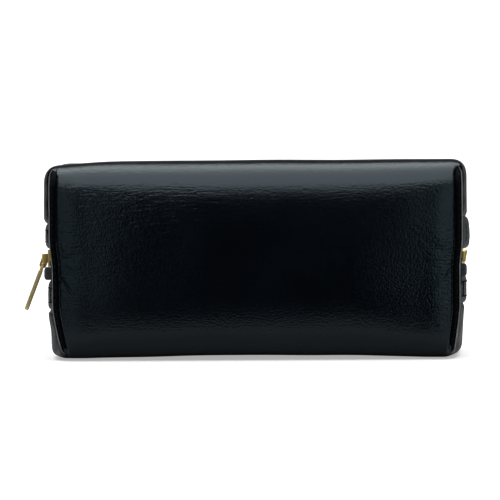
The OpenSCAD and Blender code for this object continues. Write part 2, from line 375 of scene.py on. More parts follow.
def thread_material(name):
    """Waxed polyester thread with its twist."""
    material, tree, shader = new_material(name, Roughness=0.6, Specular_IOR_Level=0.14)
    place = texture_place(tree)
    twist = wave_of(tree, place, "DIAGONAL", 700, 1.0)
    tint(tree, shader, twist, (0.0, (0.0010, 0.0010, 0.0012)), (1.0, (0.0035, 0.0036, 0.0040)))
    add_bumps(tree, shader, [(twist, 0.5, 0.0002)])
    return material


def cloth_material(name, dark, light, pitch):
    """A plain weave: two crossed sets of threads, pitch threads a metre."""
    material, tree, shader = new_material(name, Roughness=0.85, Sheen_Weight=0.25, Sheen_Roughness=0.5)
    place = texture_place(tree)
    along_x, along_y, along_z = (wave_of(tree, place, direction, pitch, 0.4) for direction in "XYZ")
    weave = mixed(tree, mixed(tree, along_x, along_z, 0.5, 0.5), along_y, 0.5, 0.5)
    slub = noise_of(tree, place, pitch * 0.2, 3)
    blend = mixed(tree, weave, slub, 0.7, 0.3)
    tint(tree, shader, blend, (0.25, dark), (0.8, light))
    add_bumps(tree, shader, [(weave, 0.6, 0.0003), (slub, 0.2, 0.0003)])
    return material


def tape_material(name):
    """Zip tape: a fine herringbone twill, placed along the tape."""
    material, tree, shader = new_material(name, Roughness=0.8, Sheen_Weight=0.3, Sheen_Roughness=0.4)
    place = texture_place(tree, source="UV")
    twill = wave_of(tree, place, "DIAGONAL", 5.5, 0.3)
    weave = mixed(tree, twill, wave_of(tree, place, "Y", 9.0, 0.0), 0.6, 0.4)
    tint(tree, shader, weave, (0.1, (0.006, 0.006, 0.007)), (0.9, (0.028, 0.029, 0.032)))
    add_bumps(tree, shader, [(weave, 0.7, 0.0002)])
    return material


def metal_material(name, deep, bright, rough_low, rough_high, scratch=0.15):
    """Plated metal with fine handling marks."""
    material, tree, shader = new_material(name, Metallic=1.0)
    place = texture_place(tree)
    patches = noise_of(tree, place, 320, 4)
    tint(tree, shader, patches, (0.3, deep), (0.7, bright))
    tree.links.new(spread(tree, patches, rough_low, rough_high), shader.inputs["Roughness"])
    marks = noise_of(tree, texture_place(tree, scale=(1, 1, 0.08)), SCRATCHES, 2)
    add_bumps(tree, shader, [(marks, scratch, 0.00005), (patches, scratch * 0.5, 0.0001)])
    return material


def foam_material(name):
    """Thin felted foam with open pores."""
    material, tree, shader = new_material(name, Roughness=0.95)
    pores = pattern(tree, texture_place(tree), "Voronoi", "Distance", Scale=FOAM_PORES)
    tint(tree, shader, pores, (0.1, (0.5, 0.5, 0.48)), (0.7, (0.75, 0.75, 0.73)))
    add_bumps(tree, shader, [(pores, 0.6, 0.0004)])
    return material


LEATHER = leather_material("black_leather", (0.0002, 0.0006, 0.0016), (0.0005, 0.0013, 0.0028),
                           0.19, 0.25, 1.0, 0.42)
FACING_LEATHER = leather_material("facing_leather", (0.026, 0.027, 0.028), (0.046, 0.048, 0.049),
                                  0.30, 0.42, 0.6)
MARGIN_LEATHER = leather_material("margin_leather", (0.0003, 0.0004, 0.0005), (0.001, 0.0011, 0.0012),
                                  0.5, 0.65, 0.8, 0.07)
EDGE_PAINT_HIGHLIGHT = edge_highlight_material("edge_paint_highlight")
THREAD = thread_material("black_thread")
TAPE = tape_material("zip_tape_twill")
LINING = cloth_material("lining_weave", (0.012, 0.012, 0.014), (0.05, 0.052, 0.058), WEAVE)
FOAM = foam_material("felted_foam")
BINDING = leather_material("binding_leather", (0.004, 0.004, 0.005), (0.01, 0.01, 0.011), 0.35, 0.5, 0.6)
TEETH_METAL = metal_material("teeth_brass", (0.55, 0.38, 0.13), (0.80, 0.60, 0.27), 0.22, 0.34)
SLIDER_GOLD = metal_material("slider_gold", (1.0, 0.58, 0.12), (1.0, 0.74, 0.27), 0.24, 0.36, 0.1)
PULL_GOLD = metal_material("pull_gold", (0.95, 0.66, 0.28), (1.0, 0.78, 0.40), 0.34, 0.46, 0.12)
STEEL = metal_material("pin_steel", (0.42, 0.42, 0.43), (0.62, 0.62, 0.62), 0.25, 0.4)


# ---- The bag's soft form ----

def narrowing(x, y, z):
    """Near the base the bag is shorter below the zip, and shorter still along its lower long edge."""
    below_zip = SHORTER_BELOW * smooth_step(60, 44, z) * smooth_step(15, -45, y)
    corner = np.where(np.asarray(x) < 0, *SHORTER_LOW) * np.clip(1 - z / 26, 0, 1) ** 1.15
    upper = SHORTER_HIGH * smooth_step(84, 97, z)
    return 1 - below_zip - (corner + upper) * smooth_step(-22, -54, y)


def rounded(a, b, r):
    """Distance to a rounded corner, where a and b are measured from the two flat sides."""
    a, b = a + r, b + r
    return np.hypot(np.maximum(a, 0), np.maximum(b, 0)) + np.minimum(np.maximum(a, b), 0) - r


def left_drop(x, y):
    """How far the facings lie below their place in the CAD model."""
    return np.where(x < 0, LEFT_DROP * smooth_step(20, -25, y), 0.0)


def near_zip(x, y, z):
    """1 well inside the outer edges of the two facings, and 0 a little way beyond them."""
    level = z + left_drop(x, y)
    return smooth_step(2.0, -3.0, np.maximum(level - front_facing_high[2], back_facing_low[2] - level))


def right_lean(x, y, z):
    """How far the right end stands out beyond its place in the CAD model."""
    return np.where(x > 0, RIGHT_OUT * smooth_step(24, -30, y) * smooth_step(4, 38, z), 0.0)


def end_reach(x, y, z, beside):
    """How far each end is from the middle, before narrowing. Beside the zip it flares out slowly."""
    taper = TAPER + FLARE * beside
    t = np.clip((BASE_Y + taper + 3 - y) / taper, 0, 1)
    rise = np.sqrt(1 - t ** 2) * (1 - beside) + (1 - t ** 1.3) * beside
    puff = (PUFF + np.where(x < 0, LEFT_PUFF, 0.0)) * (1 - beside) * smooth_step(54, 36, y)
    seam = SEAM_IN + SEAM_SHIFT * np.sign(x)
    return seam + (HALF_L + puff + right_lean(x, y, z) - seam) * rise


def form(p):
    """Below zero inside the bag and above zero outside, in millimetres."""
    x, y, z = np.abs(p[:, 0]) / narrowing(*p.T), p[:, 1], p[:, 2]
    across = (z - MID_Z) / MID_Z
    along = x / HALF_L
    side = x - end_reach(*p.T, near_zip(*p.T))
    upper = y - TOP_Y
    lower = BASE_Y - y
    front = z - DEPTH
    back = -z
    # Padding crowns each wall a little, and the back wall arches off the table towards the base
    lower = lower - CROWN * (1 - np.minimum(along, 1) ** 3.5) * (1 - np.abs(across) ** 2.6)
    lower = lower + BASE_LEAN * smooth_step(0.50, 1.05, across) ** 1.5
    front = front - FRONT_CROWN * (1 - along ** 2) * (1 - ((y - 5) / 60) ** 2)
    front = front + FRONT_DIP * smooth_step(62, 108, -p[:, 0]) ** 1.5 * smooth_step(20, -40, y)
    back = back + ARCH * np.clip(1 - (x / 88) ** 2, 0, 1) * smooth_step(26, -15, y)
    top_xy = rounded(side, upper, TURN_R)
    base_xy = smooth_max(side, lower, 1.0)
    outline = np.where(y > 0, top_xy, base_xy)
    wall = smooth_max(front, back, 1.0)
    long_edges = rounded(np.maximum(upper, lower), wall, EDGE_R)
    uprights = rounded(side, wall, CORNER_R - np.where(p[:, 0] < 0, 2.2, 1.0) * smooth_step(45, 20, z))
    return smooth_max(outline, smooth_max(long_edges, uprights, 2.5), 2.0)


def box_grid(xs, ys, zs):
    """The surface of a box as a grid: its points, their quads, all facing out."""
    count = (len(xs), len(ys), len(zs))
    on_surface = np.zeros(count, bool)
    on_surface[[0, -1]] = True
    on_surface[:, [0, -1]] = True
    on_surface[:, :, [0, -1]] = True
    index = np.full(count, -1)
    where = np.argwhere(on_surface)
    index[on_surface] = np.arange(len(where))
    points = np.stack([xs[where[:, 0]], ys[where[:, 1]], zs[where[:, 2]]], axis=1)
    quads = []
    for axis in range(3):
        for end in (0, -1):
            sheet = np.take(index, end, axis=axis)
            if axis == 1:
                sheet = sheet.T
            quads.append(grid_quads(sheet, turned=end == 0))
    return points, np.concatenate(quads)


def to_form(points, inset=0.0):
    """Moves box points in or out to the bag's soft form, inset millimetres inside it."""
    core_low = np.array([-HALF_L + CORE_R, BASE_Y + CORE_R, CORE_R])
    core_high = np.array([HALF_L - CORE_R, TOP_Y - CORE_R, DEPTH - CORE_R])
    core = np.clip(points, core_low, core_high)
    direction = points - core
    direction /= np.linalg.norm(direction, axis=1)[:, None]
    near, far = np.zeros(len(points)), np.full(len(points), 2.2 * CORE_R)
    for _ in range(34):
        middle = (near + far) / 2
        outside = form(core + direction * middle[:, None]) > -inset
        far = np.where(outside, middle, far)
        near = np.where(outside, near, middle)
    return core + direction * near[:, None]


def form_normals(points):
    step = 0.05
    slope = np.stack([form(points + step * e) - form(points - step * e) for e in np.eye(3)], axis=1)
    return slope / np.linalg.norm(slope, axis=1)[:, None]


def seam_x(side, z):
    return (SEAM_IN + SEAM_SHIFT * np.sign(side)) * narrowing(side, np.full(np.shape(z), BASE_Y), z)


CREASE_D = 0.16             # depth of the fine creases in the base
CREASE_W = 1.25
CHANNEL_D = 1.9             # depth to which the base leather rolls into an end seam
CHANNEL_W = 0.8
STITCH_PULL = 0.2           # how much deeper it is pulled in at each stitch
SEAM_PUFF = 0.25            # it stands out this much beside the channel
END_CREASE_D = 0.3


def creases(points, centre, angles, reach):
    """Creases in the base leather that fan out from a point (x, z) at its edge."""
    dx = points[:, 0] - centre[0]
    dz = points[:, 2] - centre[1]
    radius = np.hypot(dx, dz)
    turn = np.degrees(np.arctan2(dz, -dx * math.copysign(1, centre[0])))
    total = np.zeros(len(points))
    for i, angle in enumerate(angles):
        bent = turn - angle - 0.35 * radius * math.sin(1.7 * i)
        sideways = np.radians(bent) * radius
        length = reach * (0.7 + 0.3 * math.cos(2.3 * i))
        strength = CREASE_D * smooth_step(3, 10, radius) * (1 - smooth_step(0.35 * length, length, radius))
        total -= strength * hump(sideways, 0, CREASE_W)
        total += 0.6 * strength * hump(sideways, 2.1, 1.5)
    return total


def leather_relief(points, normals):
    """Height of the leather over its plain form: folds, puffs beside the seams and creases."""
    x, y, z = points.T
    on_base = np.clip(-normals[:, 1], 0, 1)
    on_end = np.abs(normals[:, 0]) ** 2
    from_seam = seam_x(x, z) - np.abs(x)
    stitch_wave = 0.5 + 0.5 * np.cos(2 * math.pi * z / STITCH_PITCH)
    relief = 0.09 * waves(points, 3, 90, 34)
    # The base leather rolls over into the seam's channel, which ends below the upper long edge
    channel = on_base ** 1.1 * smooth_step(97, 91, z)
    depth = CHANNEL_D + STITCH_PULL * stitch_wave
    relief -= channel * depth * hump(np.maximum(from_seam, 0), 0, CHANNEL_W)
    relief += on_base ** 2 * SEAM_PUFF * hump(from_seam, 9, 6)
    relief -= on_end * 0.5 * hump(y, BASE_Y + 11, 3.5) * (0.6 + 0.4 * np.sin(z * 0.55))
    # Creases on the base fan out from the middle of each end seam, and from the lower right corner
    for side in (-1, 1):
        centre = (side * SEAM_IN + SEAM_SHIFT, MID_Z + (1 if side > 0 else -2))
        relief += on_base * creases(points, centre, (-62, -44, -28, -13, 2, 16, 33, 52), 24)
    relief += on_base * creases(points, (SEAM_IN * 0.95, 9), (8, 22, 38, 55), 17)
    # Creases on the ends, where the sides fold in beside the zip
    from_zip = np.abs(z - MID_Z)
    away = smooth_step(20, 30, from_zip) * (1 - smooth_step(32, 44, from_zip))
    for side in (-1, 1):
        near_end = np.clip(side * normals[:, 0], 0, 1)
        for i, level in enumerate((BASE_Y + 18, BASE_Y + 27, -8, 12)):
            slant = y - level - 0.25 * (z - MID_Z) * math.sin(1.3 * i + side)
            relief -= near_end * END_CREASE_D * away * hump(slant, 0, 1.6)
    return relief


def mark_handled(obj):
    """Says how finely wrinkled the leather is at each point: most beside the middle of each base seam."""
    count = len(obj.data.vertices)
    points = np.zeros(count * 3)
    obj.data.vertices.foreach_get("co", points)
    x, y, z = points.reshape(-1, 3).T / MM
    from_seam = seam_x(x, z) - np.abs(x)
    amount = 0.16 + 0.84 * np.exp(-np.maximum(from_seam, 0) / 18) * hump(z, MID_Z + 4, 27)
    amount += 0.7 * hump(x, -58, 34) * hump(z, 70, 26)
    amount += 0.5 * hump(x, 84, 11) * hump(z, 9, 12)
    layer = obj.data.attributes.new("handled", "FLOAT", "POINT")
    layer.data.foreach_set("value", amount.astype(np.float32))


def stepped(low, high, step):
    return np.linspace(low, high, max(2, int(round((high - low) / step)) + 1))


def grid_lines(low, high, stops, fine, coarse, fine_zone):
    """Grid positions from low to high, fine near both ends, that pass through each stop."""
    marks = sorted({low, high, low + fine_zone, high - fine_zone, *stops})
    lines = []
    for a, b in zip(marks[:-1], marks[1:]):
        middle = (a + b) / 2
        is_fine = middle < low + fine_zone or middle > high - fine_zone
        lines.append(stepped(a, b, fine if is_fine else coarse)[:-1])
    return np.concatenate(lines + [[high]])


def build_shells(fine, coarse):
    """Grid of the form, and which of its quads are the body's and which the opening front's."""
    slot = (MID_Z - SLOT_BACK, MID_Z + SLOT_FRONT)
    xs = grid_lines(-HALF_L, HALF_L, (), fine, coarse, 42)
    close = stepped(SEAM_IN - 9, HALF_L, fine / 2)
    xs = np.concatenate([-close[::-1], xs[np.abs(xs) < SEAM_IN - 9.3], close])
    ys = grid_lines(BASE_Y, TOP_Y, (SLOT_Y, SPLIT_Y), fine * 1.3, coarse, 22)
    zs = grid_lines(0.0, DEPTH, slot, fine * 1.2, coarse * 0.7, 20)
    points, quads = box_grid(xs, ys, zs)
    centre = points[quads].mean(axis=1)
    in_slot = (centre[:, 1] > SLOT_Y) & (centre[:, 2] > slot[0]) & (centre[:, 2] < slot[1])
    on_route = (np.abs(centre[:, 0]) > HALF_L - 0.01) | (centre[:, 1] > TOP_Y - 0.01)
    opened = (centre[:, 1] > SPLIT_Y) & (centre[:, 2] > slot[1])
    kept = ~(in_slot & on_route)
    return points, quads[kept & ~opened], quads[kept & opened]


def thick_sheet(name, outer, inner, quads, material):
    """A closed sheet between two sets of points that share their quads."""
    used, flat = np.unique(quads, return_inverse=True)
    quads = flat.reshape(quads.shape)
    count = len(used)
    verts = np.concatenate([outer[used], inner[used]])
    edges = np.concatenate([quads[:, [i, (i + 1) % 4]] for i in range(4)])
    key = np.sort(edges, axis=1)
    _, first, how_many = np.unique(key, axis=0, return_index=True, return_counts=True)
    rim = edges[first[how_many == 1]]
    rim_faces = np.stack([rim[:, 1], rim[:, 0], rim[:, 0] + count, rim[:, 1] + count], axis=1)
    faces = np.concatenate([quads, quads[:, ::-1] + count, rim_faces])
    return make_mesh(name, verts, faces, material)


def build_leather():
    points, body_quads, front_quads = build_shells(1.1, 2.4)
    outer = to_form(points)
    normals = form_normals(outer)
    outer = outer + normals * leather_relief(outer, normals)[:, None]
    outer[:, 2] = np.maximum(outer[:, 2], 0.0)
    inner = outer - normals * LEATHER_T
    for title, quads, body in (("body", body_quads, "bag_body"), ("front", front_quads, BENDING)):
        shell = thick_sheet(f"leather_{title}", outer, inner, quads, LEATHER)
        mark_handled(shell)
        attach(shell, body, "outer_leather", f"{title}_leather")


def build_inner_layers():
    points, body_quads, front_quads = build_shells(3.0, 5.0)
    from_corner = np.hypot(HALF_L - np.abs(points[:, 0]), points[:, 1] - BASE_Y)
    clear = SEAM_ROOM * hump(from_corner, 0, 10)
    for title, top, bottom, material, slot, node in (
        ("foam", FOAM_IN, FOAM_IN + FOAM_T, FOAM, "foam_padding", "padding"),
        ("lining", LINING_IN, LINING_IN + LINING_T, LINING, "cloth_lining", "lining"),
    ):
        outer = to_form(points, top + clear)
        inner = to_form(points, bottom + clear)
        for side, quads, body in (("body", body_quads, "bag_body"), ("front", front_quads, BENDING)):
            layer = thick_sheet(f"{title}_{side}", outer, inner, quads, material)
            attach(layer, body, slot, f"{side}_{node}")


# ---- The zip's route, round the outside of the leather ----

END_L = TOP_Y - TURN_R - ZIP_Y
TURN_L = TURN_R * math.pi / 2
TOP_L = 2 * (HALF_L - TURN_R)
ROUTE_L = 2 * END_L + 2 * TURN_L + TOP_L


def route(s):
    """Points (x, y) and outward directions at distances s from the zip's left end."""
    s = np.atleast_1d(np.asarray(s, float))
    mirrored = s > ROUTE_L / 2
    t = np.where(mirrored, ROUTE_L - s, s)
    angle = np.clip((t - END_L) / TURN_R, 0, math.pi / 2)
    x = -HALF_L + TURN_R - TURN_R * np.cos(angle) + np.maximum(t - END_L - TURN_L, 0)
    y = TOP_Y - TURN_R + TURN_R * np.sin(angle) + np.minimum(t - END_L, 0)
    out = np.stack([-np.cos(angle), np.sin(angle)], axis=1)
    flip = np.where(mirrored, -1, 1)
    return np.stack([x * flip, y], axis=1), out * np.stack([flip, np.ones(len(s))], axis=1)


def route_steps(start, end, straight, turn):
    """Distances along the route: wide steps on its straights and close ones round its turns."""
    marks = [END_L, END_L + TURN_L, END_L + TURN_L + TOP_L, END_L + 2 * TURN_L + TOP_L]
    inside = [m for m in marks if start < m < end]
    marks = [start] + inside + [end]
    steps = []
    for a, b in zip(marks[:-1], marks[1:]):
        middle = (a + b) / 2
        turning = END_L < middle < END_L + TURN_L or ROUTE_L - END_L - TURN_L < middle < ROUTE_L - END_L
        steps.append(stepped(a, b, turn if turning else straight)[:-1])
    return np.concatenate(steps + [[end]])


def place_on_route(s, out, z):
    """Points at distances s along the route, out millimetres beyond the leather, at height z."""
    base, direction = route(s)
    xy = base + direction * np.broadcast_to(out, np.shape(s))[:, None]
    return np.concatenate([xy, np.broadcast_to(z, np.shape(s))[:, None]], axis=1)


def sweep_on_route(section, steps, squeeze=lambda s: 1.0):
    """Sweeps a closed section of (z, out) points along the route. squeeze(s) scales its height."""
    count = len(section)
    verts = np.concatenate([place_on_route(np.full(count, s), section[:, 1] * squeeze(s), section[:, 0])
                            for s in steps])
    uv = np.stack([np.repeat(steps, count), np.tile(section[:, 0], len(steps))], axis=1)
    return verts, tube_faces(len(steps), count), uv


STITCH_L = 2.7
STITCH_R = 0.33
STITCH_SIDES = 7
STITCH_FLAT = 1.15          # how much wider than high a thread lies


def stitch(centre, along, up):
    """One stitch: a short thread that dips into the leather at both ends."""
    side = np.cross(along, up) * STITCH_FLAT
    # Place along the stitch, width and lift, as shares of its length and radius
    stations = ((-0.5, 0.35, -0.75), (-0.36, 0.9, 0.0), (0.0, 1.0, 0.3), (0.36, 0.9, 0.0),
                (0.5, 0.35, -0.75))
    verts = []
    for where, width, lift in stations:
        for a in np.arange(STITCH_SIDES) * 2 * math.pi / STITCH_SIDES:
            verts.append(centre + along * where * STITCH_L + up * STITCH_R * (lift + width * math.sin(a))
                         + side * STITCH_R * width * math.cos(a))
    return np.array(verts), tube_faces(len(stations), STITCH_SIDES)


# ---- Facings beside the zip ----

FACING_H = 2.4
FACING_THINS = 11           # length over which a facing thins down towards the base
ROW_IN = 3.9                # each stitch row, from the facing's edge
ROW_END = 1.4               # where the rows begin, from the facing's end
CROSS_STITCHES = 3          # in the short row that joins both rows at each end


def facing_height(across):
    """Height of a facing's crowned top at a place across its width, 0 to FACING_W."""
    edge = np.abs(2 * across / FACING_W - 1)
    crown = FACING_H * (1 - edge ** 5) ** 0.55
    groove = 0.2 * (hump(across, ROW_IN, 0.55) + hump(across, FACING_W - ROW_IN, 0.55))
    return 0.15 + crown - groove


def facing_section(z0):
    across = FACING_W * (0.5 - 0.5 * np.cos(np.linspace(0, math.pi, 34)))
    top = np.stack([z0 + across, facing_height(across)], axis=1)
    bottom = np.array([[z0 + FACING_W - 0.3, -0.5], [z0 + 0.3, -0.5]])
    return np.concatenate([top, bottom])


def end_round(s):
    """Facings thin down towards the base, and round off where the leather folds under."""
    from_end = min(s, ROUTE_L - s)
    fold = math.sqrt(max(0.0, 1 - (1 - min(from_end / 1.2, 1)) ** 2))
    return 0.14 + fold * (0.2 + 0.66 * float(smooth_step(-1, FACING_THINS, from_end)))


def follow_ends(verts):
    """Draws facing points in with the ends of the bag, and down where the facings lie lower."""
    x, y, z = verts.T
    scale = narrowing(x, y, z) * np.where(y < 0, end_reach(x, y, z, 1.0) / HALF_L, 1)
    outer = smooth_step(front_facing_low[2], front_facing_high[2], z)
    in_front = z > CHAIN_Z
    drop = left_drop(x, y) * np.where(in_front, outer, 1.0)
    drop += np.where(in_front & (x > 0), RIGHT_DROP * (1 - outer) * smooth_step(20, -25, y), 0.0)
    return np.stack([x * scale, y, z - drop], axis=1)


def build_facing(name, z0):
    ends = np.array([0, 0.08, 0.25, 0.5, 0.8, 1.2, 1.7, 2.4])
    middle = route_steps(3.2, ROUTE_L - 3.2, 3.0, 1.1)
    steps = np.concatenate([ends, middle, (ROUTE_L - ends)[::-1]])
    verts, faces, _ = sweep_on_route(facing_section(z0), steps, end_round)
    wobble = 0.12 * waves(verts, 11 + int(z0), 24, 7)
    outward = verts * (1, 1, 0)
    outward /= np.linalg.norm(outward, axis=1)[:, None]
    raised = smooth_step(0.4, 1.6, np.tile(facing_section(z0)[:, 1], len(steps)))
    verts = verts + outward * (wobble * raised)[:, None]
    return fix_normals(make_mesh(name, follow_ends(verts), faces, FACING_LEATHER, 60))


def facing_stitches(name, z0):
    parts = []
    number = int((ROUTE_L - 2 * ROW_END) / STITCH_PITCH)
    pitch = (ROUTE_L - 2 * ROW_END) / number
    for across in (ROW_IN, FACING_W - ROW_IN):
        height = float(facing_height(np.array(across)))
        for i in range(number):
            s = ROW_END + (i + 0.5) * pitch
            out = np.array([height * end_round(s + d) + 0.05 for d in (-0.5, 0.5)])
            ends = place_on_route(np.array([s - 0.5, s + 0.5]), out, z0 + across)
            along = (ends[1] - ends[0]) / np.linalg.norm(ends[1] - ends[0])
            up = np.array([*route(s)[1][0], 0])
            parts.append(stitch(ends.mean(axis=0), along, up))
    cross_pitch = (FACING_W - 2 * ROW_IN) / CROSS_STITCHES
    for s in (ROW_IN, ROUTE_L - ROW_IN):
        for i in range(CROSS_STITCHES):
            across = ROW_IN + (i + 0.5) * cross_pitch
            out = float(facing_height(np.array(across))) * end_round(s) + 0.12
            centre = place_on_route(np.array([s]), out, z0 + across)[0]
            parts.append(stitch(centre, np.array([0, 0, 1.0]), np.array([*route(s)[1][0], 0])))
    verts, faces = merge_parts(parts)
    return make_mesh(name, follow_ends(verts), faces, THREAD, 70)


def build_facings():
    facings = (("facing_back", back_facing_low[2], "bag_body", ("back_facing",)),
               ("facing_front", front_facing_low[2], BENDING, ("front_facing", "front_facing_ends")))
    for title, z0, body, nodes in facings:
        attach(build_facing(title, z0), body, "facing_leather", *nodes)
    for title, z0, body, _ in facings:
        attach(facing_stitches(f"{title}_stitches", z0), body, "facing_leather")


# ---- Zip: tapes, teeth and stops ----

TAPE_W = box_mm("back_tape")[1][2] - box_mm("back_tape")[0][2] + 1.2
TAPE_T = 0.6
TAPE_MID = -LEATHER_T - TAPE_T / 2
ROW_START = 5.1
PITCH_AIM = 2.6
TAPE_END_BOXY = 0.55        # from 1, an ellipsoid, towards 0, a box


def tape_section(side):
    """(z, out) of one tape, with the corded edge that the teeth grip."""
    half = TAPE_T / 2
    outline = [(1.25, -half - 0.22), (1.9, -half - 0.3), (2.5, -half), (7, -half), (TAPE_W, -half),
               (TAPE_W, half), (7, half), (2.5, half), (1.9, half + 0.3), (1.25, half + 0.22)]
    points = np.array([[CHAIN_Z + side * z, TAPE_MID + out] for z, out in outline])
    return points if side > 0 else points[::-1]


def tooth(side):
    """One tooth in its own frame: x along the zip, y out, z towards its tape."""
    reach, root, half = -0.85, 2.9, 1.1
    profile = [(reach, 0.55), (reach + 0.35, 0.85), (0.35, 0.85), (0.75, half), (root - 0.3, half),
               (root, half - 0.3)]
    outline = profile + [(z, -y) for z, y in profile[::-1]]
    layers = [(-0.55, 0.18), (-0.40, 0.0), (0.40, 0.0), (0.55, 0.18)]
    centre_z = (reach + root) / 2
    verts = []
    for x, shrink in layers:
        scale_z = 1 - shrink / (root - reach) * 2
        verts += [(x, y * (1 - shrink), side * (centre_z + (z - centre_z) * scale_z)) for z, y in outline]
    return np.array(verts), tube_faces(len(layers), len(outline))


def put_on_route(shape, s):
    """A small shape (x along, y out, z across) set on the chain at distance s."""
    verts, faces = shape
    base, out = route(s)
    along = np.array([out[0][1], -out[0][0]])
    depth = TAPE_MID + verts[:, 1]
    xy = base[0] + np.outer(depth, out[0]) + np.outer(verts[:, 0], along)
    return np.concatenate([xy, (CHAIN_Z + verts[:, 2])[:, None]], axis=1), faces


def route_marks(turn):
    """Distances at which the chain turns, where each turn is this long."""
    return np.cumsum([0, END_L, turn, TOP_L, turn, END_L])


def build_teeth(name, side):
    """A row of teeth. The back row lies half a tooth further on, and so the two rows mesh."""
    chain = route_marks((TURN_R + TAPE_MID) * math.pi / 2)
    number = round((chain[-1] - 2 * ROW_START) / PITCH_AIM)
    pitch = (chain[-1] - 2 * ROW_START) / number
    first, count = (0.5, number) if side > 0 else (1.0, number - 1)
    # The chain lies inside the leather's outline, so even steps along it are not even along the route
    places = np.interp(ROW_START + (np.arange(count) + first) * pitch, chain, route_marks(TURN_L))
    verts, faces = merge_parts([put_on_route(tooth(side), s) for s in places])
    verts[:, 0] += right_lean(*verts.T)
    return fix_normals(make_mesh(name, verts, faces, TEETH_METAL, 35))


def build_zip():
    for title, side in (("front", 1), ("back", -1)):
        steps = route_steps(-1, ROUTE_L + 1, 3.5, 1.5)
        verts, faces, uv = sweep_on_route(tape_section(side), steps)
        verts[:, 0] += right_lean(*verts.T)
        tape = fix_normals(make_mesh(f"tape_{title}", verts, faces, TAPE, 60, uv))
        teeth = build_teeth(f"teeth_{title}", side)
        body = BENDING if side > 0 else "bag_body"
        endings = ("", "_ends") if side > 0 else ("",)
        attach(tape, body, "zip_tape", *(f"{title}_tape{e}" for e in endings))
        attach(teeth, body, "zip_metal", *(f"{title}_teeth{e}" for e in endings))


def build_tape_end(name, side, node):
    """The tape's cut end, folded twice into a small flat roll and tucked beside the chain."""
    low, high = box_mm(node)
    shift = (0.0, -0.3, -0.8) if side < 0 else (RIGHT_OUT - 1.0, -0.3, -0.3)
    centre = (low + high) / 2 + shift
    half = np.array([2.0, 2.2, 3.6])
    rings, around = 23, 28
    n = sphere_points(rings, around)
    p = np.sign(n) * np.abs(n) ** TAPE_END_BOXY
    verts = centre + half * p * (1 - 0.08 * np.abs(p[:, 2:]) ** 3)
    verts[:, 0] += side * 0.3 * np.sin(3.2 * p[:, 1] * math.pi) * np.abs(p[:, 0])
    roll = make_mesh(name, verts, tube_faces(rings, around, capped=False), TAPE, 60, verts[:, 1:])
    attach(fix_normals(roll, weld=True), "bag_body", "zip_tape", node)


# ---- Box seams at the base's ends ----

MARGIN_T = 2.3
MARGIN_Y = BASE_Y + 1.2     # outer face of the sewn margin, at the middle of the base
SEAM_SWING = 64             # degrees that the seam follows the lower corner
SEAM_SWING_UP = 50          # and the upper one
SEAM_R = EDGE_R - 1.5       # radius of both turns
SEAM_ARC = math.radians(SEAM_SWING) * SEAM_R
SEAM_STRAIGHT = DEPTH - 2 * EDGE_R
SEAM_L = SEAM_ARC + SEAM_STRAIGHT + math.radians(SEAM_SWING_UP) * SEAM_R
SEAM_ROW_END = 4            # where the stitch row begins, from the seam's end


def seam_route(s):
    """The point (y, z) and the outward direction at distance s from the seam's lower end."""
    on_straight = min(max(s - SEAM_ARC, 0), SEAM_STRAIGHT)
    a = (s - SEAM_ARC - on_straight) / SEAM_R
    out = np.array([-math.cos(a), math.sin(a)])
    return np.array([MARGIN_Y + SEAM_R, EDGE_R + on_straight]) + SEAM_R * out, out


def seam_point(side, s, reach, height):
    """A point reach out along X from the seam line and height above the margin's face."""
    point, out = seam_route(s)
    y, z = point + out * height
    return np.array([side * (float(seam_x(side, np.array(z))) + reach), y, z])


def sweep_seam(side, section, steps, shrink):
    """Sweeps a closed section of (reach, height) points along the seam. shrink(s) scales its reach."""
    verts = [seam_point(side, s, reach * shrink(s), height) for s in steps for reach, height in section]
    return np.array(verts), tube_faces(len(steps), len(section))


def build_seam(title, side):
    """The sewn margin with its sunken channel, its painted raw edge and its stitches."""
    width = SEAM_OUT - SEAM_IN
    dip = [(-2.5, -1.5), (-1.2, -1.35), (-0.3, -1.1), (0.3, -0.9), (0.9, -0.95), (1.4, -0.85), (1.8, -0.45),
           (width - 0.6, -0.05), (width - 0.2, -0.08), (width - 0.05, -0.4)]
    back = [(width - 0.05, -MARGIN_T + 0.3), (width - 0.4, -MARGIN_T), (-2.5, -MARGIN_T)]

    def shrink(s):
        from_end = min(s, SEAM_L - s)
        return 0.15 + 0.85 * float(smooth_step(-2, 4, from_end))

    steps = np.linspace(0, SEAM_L, 110)
    margin = make_mesh(f"seam_margin_{title}", *sweep_seam(side, dip + back, steps, shrink), MARGIN_LEATHER, 55)
    attach(fix_normals(margin), "bag_body", "seam_edge", f"{title}_seam")
    bead = [(width - 0.25 + 0.3 * math.sin(math.pi * k), 0.12 - (MARGIN_T + 0.05) * k)
            for k in np.linspace(0, 1, 9)]
    bead += [(width - 0.6, -MARGIN_T + 0.1), (width - 0.6, -0.1)]
    # The bead's pale grey colour is a painted highlight along the raw edge
    rim = make_mesh(f"seam_edge_{title}", *sweep_seam(side, bead, steps, shrink), EDGE_PAINT_HIGHLIGHT, 60)
    attach(fix_normals(rim), "bag_body", "seam_edge")
    row = SEAM_L - 2 * SEAM_ROW_END
    number = int(row / STITCH_PITCH)
    parts = []
    for i in range(number):
        s = SEAM_ROW_END + (i + 0.5) * row / number
        a, b = (seam_point(side, s + d, 0.85 * shrink(s), -0.85) for d in (-0.5, 0.5))
        parts.append(stitch((a + b) / 2, (b - a) / np.linalg.norm(b - a), np.array([0, *seam_route(s)[1]])))
    attach(make_mesh(f"seam_stitches_{title}", *merge_parts(parts), THREAD, 70), "bag_body", "seam_edge")


# ---- Pocket ----

POCKET_T = 0.5


